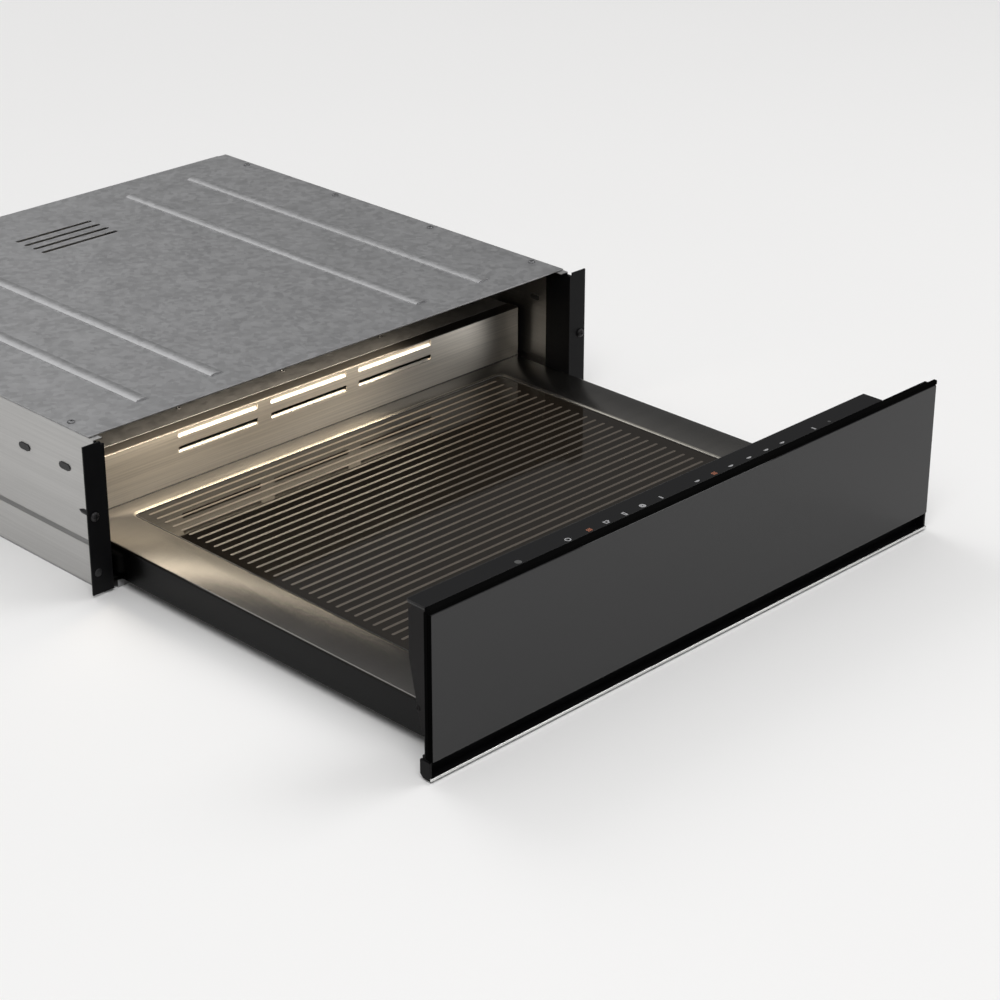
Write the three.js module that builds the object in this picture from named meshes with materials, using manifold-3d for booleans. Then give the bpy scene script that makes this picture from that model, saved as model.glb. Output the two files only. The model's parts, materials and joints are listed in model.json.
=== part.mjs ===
// Built in warming drawer for a 600 mm wide, 140 mm high kitchen niche, shown pulled open.
//
// Millimetres, +X to the right, +Y into the cabinet, +Z up.
// The origin is the middle of the casing's underside, where it rests on the niche floor.
// The casing stands still; the drawer group holds all that slides out on two telescopic runners.
// Inside the drawer group, y = 0 is the face of the front glass and y grows towards the back.

import * as THREE from 'three';
import { mergeVertices } from 'three/addons/utils/BufferGeometryUtils.js';
import Module from 'manifold-3d';

const wasm = await Module();
wasm.setup();

// ---------------------------------------------------------------- driving dimensions

// Casing
const CASE_HALF_WIDTH = 279.4; // outside of the side sheets, for a 560 mm wide carcass
const CASE_HALF_DEPTH = 256;
const CASE_TOP = 136.5;
const SIDE_FRONT_Y = -250; // the side sheets start behind the flanges, clear of the carcass edge
const SHEET = 1;
const BASE_SHEET = 1.2;
const GAP = 0.3; // air between pieces that touch
const JOGGLE_Z = 37; // the side sheets step inwards above this height
const JOGGLE = 2.4;
const ROOF_FRONT_Y = -244; // the roof starts behind the control strip of the closed drawer

// Front flanges and the screws that hold them to the carcass
const FLANGE_FRONT = -257.6;
const FLANGE_BACK = -256.2;
const SCREW_X = 286.5;
const SCREW_Z = 73;

// Drawer position
const CLOSED_FRONT_Y = -274; // plane of the cabinet doors
const OPEN_TRAVEL = 389; // how far the drawer stands open in this pose

// Front
const FRONT_HALF_WIDTH = 295.2;
const GLASS_BOTTOM = 16.9;
const GLASS_TOP = 137.2;
const GLASS_THICKNESS = 4;
const CARRIER_BACK = 7.6;
const TRIM_TOP = 141.2;
const TRIM_DEPTH = 6;
const STRIP_LEFT = -294;
const STRIP_RIGHT = 228;
const STRIP_BACK = 26;
const KEY_Y = 13.8; // row of touch keys under the strip
const KEYS = [-146, -123, -104, -84, -64, -43, -1, 19, 39, 61, 82, 102];
const HOUSING_LEFT = -262;
const HOUSING_BOTTOM = 112;
const GRIP_DEPTH = 10.2; // finger recess under the glass
const GRIP_HALF_WIDTH = 296.2;
const LIP_BOTTOM = 1.8;
const LIP_TOP = 4.2;

// Drawer body
const RIM_TOP = 39;
const RIM_HALF_WIDTH = 265.1;
const RIM_FRONT = 28.3;
const RIM_BACK = 467.5;
const SKIRT_BOTTOM = 10.1;
const OPENING_HALF_WIDTH = 218.7;
const OPENING_FRONT = 34;
const OPENING_BACK = 445.2;
const OPENING_CHAMFER = 2.2; // the cut edge slopes down to the glass
const TRAY_HALF_WIDTH = 239.9;
const TRAY_BOTTOM = 11;
const WALL_TOP = 88;
const WALL_HALF_WIDTH = 265.6;
const BOX_BACK = 516.8;
const WELL_HALF_WIDTH = 236; // the rear box is narrow below the rim, to pass between the runners

// Round sensors in wells of the insulation, pressed up against the heater mat
const SENSORS = [[75, 240], [-75, 240]];

// Push to open unit on the casing floor, and the striker under the drawer's rear box
const LATCH_X = 40;
const LATCH_Z = 5.6;
const STRIKER_Y = 481.2; // rear face of the striker, in the drawer
const PLUNGER_TIP = CLOSED_FRONT_Y + STRIKER_Y + 6;
const PLUNGER_LENGTH = 20;
const PLUNGER_TRAVEL = 12;

// Mains cable entry in the back sheet
const CABLE_X = 140;
const CABLE_Z = 112;

// Slots of the rear wall: three groups, two rows
const SLOT_SPANS = [[-150, -61], [-45.5, 44], [59, 150]];
const SLOT_ROWS = [69, 83.5];
const SLOT_HEIGHT = 6;

// Runners, measured from the middle of the drawer outwards
const RAIL_FRONT = 32;
const RAIL_LENGTH = 423;
const RAIL_SHEET = 1.2;
const RAIL_FIXED_WEB = 253.2;
const RAIL_MOVING_WEB = 240.2;
const RAIL_CENTRE_Z = 23;

// Cross flow fan
const FAN_Y = 494;
const FAN_Z = 33;
const FAN_RADIUS = 15;
const FAN_LEFT = -190;
const FAN_LENGTH = 176;
const BLADES = 16;

// ---------------------------------------------------------------- finishes

const finish = (color, roughness, metalness) => ({ color, roughness, metalness });
const STAINLESS = finish(0xb5aca0, 0.32, 1);
const GALVANISED = finish(0x9a9c9e, 0.45, 1);
const BLACK_PAINT = finish(0x1b1b1c, 0.45, 0.2);
const DARK_STEEL = finish(0x4a4748, 0.38, 0.9);
const FRONT_GLASS = finish(0x3a3a3b, 0.06, 0);
const BLACK_GLASS = finish(0x202021, 0.1, 0);
const FLOOR_GLASS = finish(0x2d2620, 0.08, 0);
const POLISHED = finish(0xd6d6d4, 0.18, 1);
const ALUMINIUM = finish(0xb9babb, 0.4, 1);
const BLACK_PLASTIC = finish(0x151516, 0.5, 0);
const GREY_PLASTIC = finish(0xb8b8b4, 0.5, 0);
const SILICONE = finish(0xa34a2c, 0.7, 0);
const MINERAL_BOARD = finish(0xcfc7b4, 0.95, 0);
const CIRCUIT_BOARD = finish(0x1f4a33, 0.5, 0);
const LIGHT = finish(0xfff0d2, 0.4, 0);
const COPPER = finish(0x9c5a32, 0.4, 0.9);
const HEATER_STEEL = finish(0x7c7770, 0.4, 1);

// ---------------------------------------------------------------- solids

// A closed three.js geometry as a manifold solid.
function toSolid(geometry) {
  const plain = geometry.index ? geometry.toNonIndexed() : geometry.clone();
  plain.deleteAttribute('normal');
  plain.deleteAttribute('uv');
  const merged = mergeVertices(plain, 1e-4);
  return new wasm.Manifold(new wasm.Mesh({
    numProp: 3,
    vertProperties: merged.attributes.position.array,
    triVerts: new Uint32Array(merged.index.array),
  }));
}

function toGeometry(solid) {
  const mesh = solid.getMesh();
  const indexed = new THREE.BufferGeometry();
  indexed.setAttribute('position', new THREE.BufferAttribute(mesh.vertProperties, 3));
  indexed.setIndex(new THREE.BufferAttribute(mesh.triVerts, 1));
  const geometry = indexed.toNonIndexed();
  geometry.computeVertexNormals();
  return geometry;
}

const join = (...solids) => solids.reduce((a, b) => a.add(b));
const cut = (body, ...tools) => tools.reduce((a, b) => a.subtract(b), body);

function piece(parent, name, solid, look) {
  const mesh = new THREE.Mesh(toGeometry(solid), new THREE.MeshStandardMaterial(look));
  mesh.name = name;
  parent.add(mesh);
}

// The two hands of a piece: the right one as given, and the left one as its mirror image.
function pair(parent, name, solid, look) {
  piece(parent, name + '_right', solid, look);
  piece(parent, name + '_left', solid.mirror([1, 0, 0]), look);
}

function box(x0, x1, y0, y1, z0, z1) {
  const geometry = new THREE.BoxGeometry(x1 - x0, y1 - y0, z1 - z0);
  return toSolid(geometry.translate((x0 + x1) / 2, (y0 + y1) / 2, (z0 + z1) / 2));
}

const shapeOf = (outline) => (outline instanceof THREE.Shape ? outline : new THREE.Shape(outline));
const point = (u, v) => new THREE.Vector2(u, v);
const points = (...pairs) => pairs.map(([u, v]) => point(u, v));

// An outline extruded along one axis; u and v are the other two axes in x, y, z order.
function prism(axis, outline, from, to, segments = 4) {
  const geometry = new THREE.ExtrudeGeometry(shapeOf(outline), {
    depth: to - from, bevelEnabled: false, curveSegments: segments,
  });
  const matrix = new THREE.Matrix4();
  if (axis === 'x') {
    matrix.makeBasis(new THREE.Vector3(0, 1, 0), new THREE.Vector3(0, 0, 1), new THREE.Vector3(1, 0, 0));
    matrix.setPosition(from, 0, 0);
  } else if (axis === 'y') {
    matrix.makeBasis(new THREE.Vector3(1, 0, 0), new THREE.Vector3(0, 0, 1), new THREE.Vector3(0, -1, 0));
    matrix.setPosition(0, to, 0);
  } else {
    matrix.setPosition(0, 0, from);
  }
  return toSolid(geometry.applyMatrix4(matrix));
}

function roundedRectangle(u0, u1, v0, v1, radius) {
  const shape = new THREE.Shape();
  shape.absarc(u1 - radius, v0 + radius, radius, -Math.PI / 2, 0);
  shape.absarc(u1 - radius, v1 - radius, radius, 0, Math.PI / 2);
  shape.absarc(u0 + radius, v1 - radius, radius, Math.PI / 2, Math.PI);
  shape.absarc(u0 + radius, v0 + radius, radius, Math.PI, 1.5 * Math.PI);
  return shape;
}

// A solid of revolution about a line along the given axis through centre.
// The profile is a list of [radius, distance along the axis] that starts and ends on the axis.
function turned(axis, profile, centre, segments = 24) {
  const geometry = new THREE.LatheGeometry(points(...profile), segments);
  if (axis === 'x') geometry.rotateZ(-Math.PI / 2);
  if (axis === 'z') geometry.rotateX(Math.PI / 2);
  return toSolid(geometry.translate(...centre));
}

function cylinder(axis, radius, from, to, centre, segments = 24) {
  const profile = [[0, from], [radius, from], [radius, to], [0, to]];
  return turned(axis, profile, centre, segments);
}

// Replaces each inner corner of a path by an arc.
function rounded(path, radius, steps = 3) {
  const result = [path[0]];
  for (let i = 1; i < path.length - 1; i++) {
    const corner = path[i];
    const back = path[i - 1].clone().sub(corner).normalize();
    const ahead = path[i + 1].clone().sub(corner).normalize();
    const half = back.angleTo(ahead) / 2;
    const reach = radius / Math.tan(half);
    const start = corner.clone().addScaledVector(back, reach);
    const end = corner.clone().addScaledVector(ahead, reach);
    for (let step = 0; step <= steps; step++) {
      const t = step / steps;
      result.push(new THREE.QuadraticBezierCurve(start, corner, end).getPoint(t));
    }
  }
  result.push(path[path.length - 1]);
  return result;
}

// The outline of a bent sheet: a path along one face, and the sheet's thickness to its left.
function sheet(path, thickness) {
  const offset = path.map((here, i) => {
    const before = i > 0 ? here.clone().sub(path[i - 1]).normalize() : null;
    const after = i < path.length - 1 ? path[i + 1].clone().sub(here).normalize() : null;
    const normals = [before, after].filter(Boolean).map((d) => point(-d.y, d.x));
    const mean = normals.length === 2 ? normals[0].clone().add(normals[1]).normalize() : normals[0];
    return here.clone().addScaledVector(mean, thickness / mean.dot(normals[0]));
  });
  const outline = [...path, ...offset.reverse()];
  return THREE.ShapeUtils.area(outline) < 0 ? outline.reverse() : outline;
}

// Straight slots with round ends, as one cutting tool through a sheet that faces the given axis.
function slots(axis, centres, length, height, from, to) {
  return join(...centres.map(([u, v]) => prism(
    axis,
    roundedRectangle(u - length / 2, u + length / 2, v - height / 2, v + height / 2, height / 2 - 0.01),
    from, to, 1,
  )));
}

const row = (count, first, step) => Array.from({ length: count }, (_, i) => first + i * step);

// A pressed bead along y: the ridge on one face and the matching groove on the other.
function bead(x, y0, y1, z, width, height, thickness) {
  const oval = (w, h, end) => {
    const shape = new THREE.Shape();
    shape.absellipse(x, z, w / 2, h, 0, end);
    return shape;
  };
  const ridge = prism('y', oval(width, height, Math.PI), y0, y1, 3);
  const hollow = oval(width - 2 * thickness, height - thickness, 2 * Math.PI);
  const groove = prism('y', hollow, y0 + thickness, y1 - thickness, 3);
  return { ridge, groove };
}

function withBeads(body, beads) {
  const raised = join(body, ...beads.map((b) => b.ridge));
  return cut(raised, ...beads.map((b) => b.groove));
}

// ---------------------------------------------------------------- casing

function casingBase() {
  const path = points(
    [-CASE_HALF_DEPTH, 7],
    [-CASE_HALF_DEPTH, 0],
    [CASE_HALF_DEPTH - SHEET - GAP, 0],
  );
  const tray = prism('x', sheet(rounded(path, 2), BASE_SHEET), -CASE_HALF_WIDTH, CASE_HALF_WIDTH);
  const corner = box(266.5, 290, -260, -253.5, -1, 9);
  const beads = [-180, -90, 90, 180].map((x) => bead(x, -200, 200, 0, 16, 3.6, BASE_SHEET));
  const vents = slots('z', row(5, -160, 80).map((x) => [x, 225]), 50, 5, -1, 3);
  return cut(withBeads(tray, beads), vents, corner, corner.mirror([1, 0, 0]));
}

function casingSide() {
  const inner = CASE_HALF_WIDTH - JOGGLE;
  const low = BASE_SHEET + GAP;
  const high = CASE_TOP - SHEET - GAP;
  const path = points(
    [268, low],
    [CASE_HALF_WIDTH, low],
    [CASE_HALF_WIDTH, JOGGLE_Z],
    [inner, JOGGLE_Z + 3],
    [inner, high],
    [268, high],
  );
  const wall = prism('y', sheet(path, SHEET), SIDE_FRONT_Y, CASE_HALF_DEPTH);
  const vents = slots('x', row(8, -208, 56).map((y) => [y, 99]), 12, 5, 270, 285);
  return cut(wall, vents);
}

function casingRoof() {
  const plate = box(-277, 277, ROOF_FRONT_Y, CASE_HALF_DEPTH - SHEET - GAP, CASE_TOP - SHEET, CASE_TOP);
  const beads = [-200, -120, 120, 200].map((x) => bead(x, -215, 215, CASE_TOP - SHEET, 16, 3, SHEET));
  const vents = slots('z', row(4, 140, 14).map((y) => [0, y]), 90, 5, 130, 140);
  return cut(withBeads(plate, beads), vents);
}

function casingBack() {
  const low = BASE_SHEET + GAP;
  const y0 = CASE_HALF_DEPTH - SHEET;
  const shape = points(
    [-267, low], [267, low], [267, 3], [277, 3], [277, JOGGLE_Z],
    [275, JOGGLE_Z + 3], [275, 133], [267, 133], [267, CASE_TOP],
    [-267, CASE_TOP], [-267, 133], [-275, 133],
    [-275, JOGGLE_Z + 3], [-277, JOGGLE_Z], [-277, 3], [-267, 3],
  );
  const plate = prism('y', shape, y0, CASE_HALF_DEPTH);
  const grille = [-150, 0].flatMap((middle) => row(4, 34, 12).map((z) => [middle, z]));
  const vents = slots('y', grille, 100, 5, 250, 260);
  const cableHole = cylinder('y', 8.4, 0, 10, [CABLE_X, 250, CABLE_Z], 20);
  return cut(plate, vents, cableHole);
}

// The angle flange that bears on the front edge of the cabinet side, with its screw holes.
function frontFlange() {
  const low = 2.8;
  const legBack = FLANGE_BACK + 31.6;
  const outline = points(
    [272, FLANGE_FRONT], [293, FLANGE_FRONT], [293, FLANGE_BACK], [275.6, FLANGE_BACK],
    [275.6, legBack], [274.2, legBack], [274.2, FLANGE_BACK + 3.6], [272, FLANGE_BACK],
  );
  const angle = prism('z', outline, low, 133.6);
  const top = box(275.4, 293, FLANGE_FRONT, FLANGE_BACK, 133, 136.2);
  const screwHoles = [22, SCREW_Z].map((z) => cylinder('y', 2.6, -2, 4, [SCREW_X, -257, z], 16));
  return cut(join(angle, top), ...screwHoles);
}

function fixingScrew() {
  const profile = [
    [0, -3.1], [1.6, -3], [3.2, -2.4], [4.1, -1.3], [4.2, -GAP], [2, -GAP],
    [2, 15], [1.2, 18], [0, 20.5],
  ];
  const body = turned('y', profile, [SCREW_X, FLANGE_FRONT, SCREW_Z], 12);
  const y0 = FLANGE_FRONT - 4;
  const y1 = FLANGE_FRONT - 1.6;
  const slotA = box(SCREW_X - 2.4, SCREW_X + 2.4, y0, y1, SCREW_Z - 0.4, SCREW_Z + 0.4);
  const slotB = box(SCREW_X - 0.4, SCREW_X + 0.4, y0, y1, SCREW_Z - 2.4, SCREW_Z + 2.4);
  return cut(body, slotA, slotB);
}

// A moulded bumper that centres the front bracket while the drawer closes.
function sideGuide() {
  const outline = roundedRectangle(267.3, 280, -253, -231, 5);
  const body = prism('z', outline, 11, 27, 5);
  const trimmed = cut(body, box(273.9, 290, -260, -225, 0, 40));
  const screwWell = cylinder('x', 3, 0, 3, [266, -242, 19], 14);
  return cut(trimmed, screwWell);
}

// ---------------------------------------------------------------- telescopic runners

// Nested C profiles, all centred at one height: the fixed one is the tallest.
// outer is the outside of the web, reach how far the flanges stand towards the other side.
function railProfile(outer, reach, halfHeight, facing) {
  const low = RAIL_CENTRE_Z - halfHeight;
  const high = RAIL_CENTRE_Z + halfHeight;
  const tip = outer + facing * reach;
  const path = points([tip, low], [outer, low], [outer, high], [tip, high]);
  // Walked so that the sheet lies inside the C, whichever way it opens.
  return sheet(rounded(facing < 0 ? path : path.reverse(), 1.4, 2), RAIL_SHEET);
}

function rail(profile, y0, y1, holes) {
  const body = prism('y', profile, y0, y1);
  return holes ? cut(body, slots('x', holes, 14, 6, 230, 262)) : body;
}

const fixedRailFront = CLOSED_FRONT_Y + RAIL_FRONT;

function runnerOuter() {
  const y1 = fixedRailFront + RAIL_LENGTH;
  const holes = [fixedRailFront + 40, 0, y1 - 40].map((y) => [y, RAIL_CENTRE_Z]);
  const body = rail(railProfile(RAIL_FIXED_WEB, 8.2, 11, -1), fixedRailFront, y1, holes);
  const stop = box(RAIL_FIXED_WEB - 5, RAIL_FIXED_WEB - 0.5, y1 - 2, y1, 14, 32);
  return join(body, stop);
}

function runnerMiddle() {
  const y0 = fixedRailFront - OPEN_TRAVEL / 2;
  const y1 = y0 + RAIL_LENGTH - 4;
  const holes = row(5, y0 + 50, 78).map((y) => [y, RAIL_CENTRE_Z]);
  return rail(railProfile(RAIL_FIXED_WEB - 3, 7.7, 8.8, -1), y0, y1, holes);
}

function runnerInner() {
  const y1 = RAIL_FRONT + RAIL_LENGTH;
  const holes = [RAIL_FRONT + 30, 240, y1 - 30].map((y) => [y, RAIL_CENTRE_Z]);
  return rail(railProfile(RAIL_MOVING_WEB, 7.3, 6.6, 1), RAIL_FRONT, y1, holes);
}

// An upright angle on the casing floor; the fixed rail is screwed to its web.
function runnerSupport() {
  const low = BASE_SHEET + GAP;
  const web0 = RAIL_FIXED_WEB + GAP;
  const path = points([web0, 35], [web0, low], [263, low]);
  const y0 = fixedRailFront + 1;
  const y1 = fixedRailFront + RAIL_LENGTH + 6;
  const angle = prism('y', sheet(rounded(path, 2), 1.5), y0, y1);
  const windows = row(5, y0 + 60, 78).map((y) => prism(
    'x', roundedRectangle(y - 18, y + 18, 10, 28, 4), 250, 258, 2,
  ));
  const feet = row(3, y0 + 30, 180).map((y) => cylinder('z', 2.2, 0, 4, [259.6, y, 0], 8));
  return cut(angle, ...windows, ...feet);
}

// ---------------------------------------------------------------- rear equipment of the casing

function terminalBox() {
  const y1 = CASE_HALF_DEPTH - SHEET - GAP;
  const body = prism('x', roundedRectangle(y1 - 30, y1, 95, 130, 3), 100, 190);
  const ribs = row(4, 112, 20).map((x) => box(x, x + 2, y1 - 31.2, y1 - 29, 100, 125));
  return join(body, ...ribs);
}

// A cable gland: hexagonal nut, domed cap with grip flutes, and its bore.
function cableGland() {
  const y0 = CASE_HALF_DEPTH + GAP;
  const centre = [CABLE_X, y0, CABLE_Z];
  const nut = cylinder('y', 13, 0, 5, centre, 6);
  const cap = turned('y', [[0, 4], [11, 4], [11, 11], [9.4, 14.4], [7, 15.6], [0, 15.6]], centre, 20);
  const flutes = row(8, 0, Math.PI / 4).map((angle) => {
    const middle = [CABLE_X + 11.6 * Math.cos(angle), y0, CABLE_Z + 11.6 * Math.sin(angle)];
    return cylinder('y', 1.6, 5.2, 12, middle, 6);
  });
  const bore = cylinder('y', 4.2, -2, 18, centre, 16);
  return cut(join(nut, cap), ...flutes, bore);
}

// Push to open unit: a flat housing with ears for two screws, and a bore for the sprung plunger.
function pushLatchBody() {
  const low = BASE_SHEET + GAP;
  const mouth = PLUNGER_TIP + 10;
  const boreEnd = PLUNGER_TIP + PLUNGER_LENGTH + PLUNGER_TRAVEL + 1;
  const sides = [LATCH_X - 7, LATCH_X + 7];
  const housing = prism('y', roundedRectangle(...sides, low, 9.7, 1.2), mouth, boreEnd + 3.5, 2);
  const ears = prism(
    'z', roundedRectangle(LATCH_X - 13, LATCH_X + 13, mouth + 8, mouth + 18, 3), low, low + 1.8, 3,
  );
  const screwHoles = [-10, 10].map((dx) => cylinder('z', 1.7, 0, 5, [LATCH_X + dx, mouth + 13, 0], 10));
  const bore = cylinder('y', 2.8, mouth - 2, boreEnd, [LATCH_X, 0, LATCH_Z], 20);
  return cut(join(housing, ears), bore, ...screwHoles);
}

function pushLatchPlunger() {
  const profile = [[0, 0], [1.4, 0.2], [2.2, 0.9], [2.5, 2], [2.5, PLUNGER_LENGTH], [0, PLUNGER_LENGTH]];
  return turned('y', profile, [LATCH_X, PLUNGER_TIP, LATCH_Z], 20);
}

// A plug point of the wiring that feeds the drawer: a shallow box with a catch on top.
// Its mouth is in the face towards the back, or else in the one towards the front.
function loomSocket(x, y0, y1, z0, mouthBehind) {
  const body = box(x - 16, x + 16, y0, y1, z0, z0 + 14);
  const out = mouthBehind ? 1 : -1;
  const floor = mouthBehind ? y1 - 5 : y0 + 5;
  const span = (a, b) => [floor + out * a, floor + out * b].sort((p, q) => p - q);
  const mouth = box(x - 13, x + 13, ...span(0, 7), z0 + 3, z0 + 11);
  const pins = row(4, x - 9, 6).map((u) => box(u - 0.8, u + 0.8, ...span(-0.5, 3), z0 + 5, z0 + 9));
  const catchRidge = box(x - 4, x + 4, y0 + 1, y1 - 1, z0 + 13.8, z0 + 15.4);
  return join(cut(join(body, catchRidge), mouth), ...pins);
}

// ---------------------------------------------------------------- drawer: rim, floor and tray

function drawerRim() {
  const path = points(
    [RIM_HALF_WIDTH, SKIRT_BOTTOM],
    [RIM_HALF_WIDTH, RIM_TOP],
    [-RIM_HALF_WIDTH, RIM_TOP],
    [-RIM_HALF_WIDTH, SKIRT_BOTTOM],
  );
  const folded = prism('y', sheet(rounded(path, 2.4, 4), SHEET), RIM_FRONT, RIM_BACK);
  const opening = roundedRectangle(
    -OPENING_HALF_WIDTH, OPENING_HALF_WIDTH, OPENING_FRONT, OPENING_BACK, 6,
  );
  const funnel = new THREE.ExtrudeGeometry(opening, {
    depth: 1, bevelEnabled: true, bevelThickness: SHEET, bevelSize: OPENING_CHAMFER,
    bevelSegments: 1, curveSegments: 5,
  });
  return cut(
    folded,
    prism('z', opening, RIM_TOP - 3, RIM_TOP + 3, 5),
    toSolid(funnel.translate(0, 0, RIM_TOP)),
  );
}

function glassFloor() {
  const outline = roundedRectangle(-224, 224, 32.2, 451, 8);
  return prism('z', outline, RIM_TOP - SHEET - GAP - 4, RIM_TOP - SHEET - GAP, 4);
}

function heaterMat() {
  const outline = roundedRectangle(-200, 200, 52, 430, 14);
  const notches = row(6, -150, 60).map((x, i) => {
    const y0 = i % 2 ? 30 : 120;
    return prism('z', roundedRectangle(x - 3, x + 3, y0, y0 + 330, 2.9), 30, 35, 2);
  });
  return cut(prism('z', outline, 31.4, 33.3, 4), ...notches);
}

function insulationBoard() {
  const board = prism('z', roundedRectangle(-226, 226, 34, 450, 6), 12.4, 31, 3);
  const wells = SENSORS.map(([x, y]) => cylinder('z', 12, 0, 12, [x, y, 22], 20));
  return cut(board, ...wells);
}

function drawerTray() {
  const half = TRAY_HALF_WIDTH;
  const front = RIM_FRONT + 0.1;
  const outer = prism('z', roundedRectangle(-half, half, front, 464, 5), TRAY_BOTTOM, 37.6, 3);
  const inner = prism('z', roundedRectangle(1 - half, half - 1, front + 1, 463, 4), TRAY_BOTTOM + 1, 40, 3);
  const vents = slots('z', row(4, -150, 100).map((x) => [x, 457]), 60, 4, 9, 14);
  return cut(outer, inner, vents);
}

function floorSensor() {
  const [x, y] = SENSORS[0];
  const profile = [[0, 23], [7, 23], [7, 29.4], [6, 30.6], [0, 30.6]];
  return join(turned('z', profile, [x, y, 0]), box(x - 2, x + 2, y, y + 10.5, 25, 27.5));
}

function safetyThermostat() {
  const [x, y] = SENSORS[1];
  const profile = [[0, 26], [8.5, 26], [8.5, 30.6], [0, 30.6]];
  const tabs = [-4, 4].map((dx) => box(x + dx - 1.6, x + dx + 1.6, y - 0.5, y + 0.5, 22.6, 27));
  return join(turned('z', profile, [x, y, 0]), ...tabs);
}

// ---------------------------------------------------------------- drawer: rear wall and air duct

function rearWall() {
  const y0 = RIM_BACK + 0.2;
  const outline = points(
    [-WELL_HALF_WIDTH, 12], [WELL_HALF_WIDTH, 12],
    [WELL_HALF_WIDTH, RIM_TOP + GAP], [WALL_HALF_WIDTH, RIM_TOP + GAP],
    [WALL_HALF_WIDTH, WALL_TOP - 0.6], [-WALL_HALF_WIDTH, WALL_TOP - 0.6],
    [-WALL_HALF_WIDTH, RIM_TOP + GAP], [-WELL_HALF_WIDTH, RIM_TOP + GAP],
  );
  const face = prism('y', outline, y0, y0 + SHEET);
  const fold = points([y0, WALL_TOP - 6], [y0, WALL_TOP], [y0 + 14, WALL_TOP]);
  const flange = prism('x', sheet(rounded(fold, 2), -SHEET), -WALL_HALF_WIDTH, WALL_HALF_WIDTH);
  const openings = SLOT_ROWS.flatMap((z) => SLOT_SPANS.map(([x0, x1]) => prism(
    'y', roundedRectangle(x0, x1, z - SLOT_HEIGHT / 2, z + SLOT_HEIGHT / 2, 1), y0 - 4, y0 + 4, 2,
  )));
  return cut(join(face, flange), ...openings);
}

function rearBox() {
  const high = WALL_TOP - SHEET - GAP;
  const step = RIM_TOP + 0.6;
  const path = points(
    [-264.5, high], [-264.5, step], [-WELL_HALF_WIDTH, step], [-WELL_HALF_WIDTH, TRAY_BOTTOM],
    [WELL_HALF_WIDTH, TRAY_BOTTOM], [WELL_HALF_WIDTH, step], [264.5, step], [264.5, high],
  );
  const front = RIM_BACK + SHEET + 0.5;
  const shell = prism('y', sheet(path, SHEET), front, BOX_BACK);
  const back = prism('y', path, BOX_BACK - SHEET, BOX_BACK);
  const grille = row(4, 24, 9).map((z) => [-102, z]);
  return cut(join(shell, back), slots('y', grille, 150, 4, BOX_BACK - 4, BOX_BACK + 4));
}

function rearBoxLid() {
  const y0 = RIM_BACK + 14.8;
  const plate = box(-264.5, 264.5, y0, BOX_BACK, WALL_TOP - SHEET, WALL_TOP);
  const lip = box(-262, 262, y0 + 0.5, y0 + 1.5, WALL_TOP - 7, WALL_TOP - SHEET + 0.1);
  return join(plate, lip);
}

// Rotor of the cross flow fan: curved blades between three discs on one shaft.
function fanRotor() {
  const bladeOutline = (angle) => {
    const arc = (radiusShift) => row(3, 0, 1 / 2).map((t) => {
      const radius = FAN_RADIUS - 4.6 * t;
      const turn = angle + 0.42 * t * t + radiusShift / FAN_RADIUS;
      return point(FAN_Y + radius * Math.cos(turn), FAN_Z + radius * Math.sin(turn));
    });
    const outline = [...arc(0), ...arc(0.9).reverse()];
    return THREE.ShapeUtils.area(outline) < 0 ? outline.reverse() : outline;
  };
  const right = FAN_LEFT + FAN_LENGTH;
  const blades = row(BLADES, 0, 2 * Math.PI / BLADES).map((angle) => prism(
    'x', bladeOutline(angle), FAN_LEFT + 0.6, right - 0.6,
  ));
  const discs = [FAN_LEFT, FAN_LEFT + FAN_LENGTH / 2 - 0.6, right - 1.2].map((x) => cylinder(
    'x', FAN_RADIUS + 0.4, x, x + 1.2, [0, FAN_Y, FAN_Z], 24,
  ));
  const shaft = cylinder('x', 2.5, FAN_LEFT - 8, right + 10, [0, FAN_Y, FAN_Z], 12);
  return join(shaft, ...discs, ...blades);
}

// Spiral sheet round the rotor: it opens upwards into the duct and backwards to the inlet grille.
function fanHousing() {
  const spiral = row(15, 0, 1 / 14).map((t) => {
    const angle = Math.PI * (0.97 + 0.78 * t);
    const radius = FAN_RADIUS + 2.6 + 2.2 * (1 - t);
    return point(FAN_Y + radius * Math.cos(angle), FAN_Z + radius * Math.sin(angle));
  });
  const duct = point(spiral[0].x + 0.6, 60);
  const scroll = prism('x', sheet([duct, ...spiral], 0.8), FAN_LEFT - 4, FAN_LEFT + FAN_LENGTH + 4);
  const cheek = (x) => {
    const plate = prism('x', roundedRectangle(FAN_Y - 20.6, FAN_Y + 18, 12.3, 60, 6), x, x + 1, 2);
    return cut(plate, cylinder('x', 6, x - 1, x + 2, [0, FAN_Y, FAN_Z], 12));
  };
  return join(scroll, cheek(FAN_LEFT - 4.9), cheek(FAN_LEFT + FAN_LENGTH + 3.9));
}

function fanMotor() {
  const x0 = FAN_LEFT + FAN_LENGTH + 6.4;
  const stackOutline = roundedRectangle(FAN_Y - 19, FAN_Y + 19, FAN_Z - 16, FAN_Z + 29.5, 3);
  const stack = prism('x', stackOutline, x0, x0 + 16, 2);
  const coilOutline = roundedRectangle(FAN_Y - 11, FAN_Y + 11, FAN_Z + 14, FAN_Z + 28.5, 4);
  const coil = prism('x', coilOutline, x0 + 1, x0 + 24, 2);
  const foot = box(x0 + 2, x0 + 14, FAN_Y - 14, FAN_Y + 14, 12.4, FAN_Z - 15);
  const cage = turned('x', [[0, 15], [13, 15], [13, 22], [8, 26], [0, 26]], [x0, FAN_Y, FAN_Z]);
  const seat = cylinder('x', 2.9, -2, 8, [x0, FAN_Y, FAN_Z], 16);
  return cut(join(stack, coil, cage, foot), seat);
}

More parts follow.
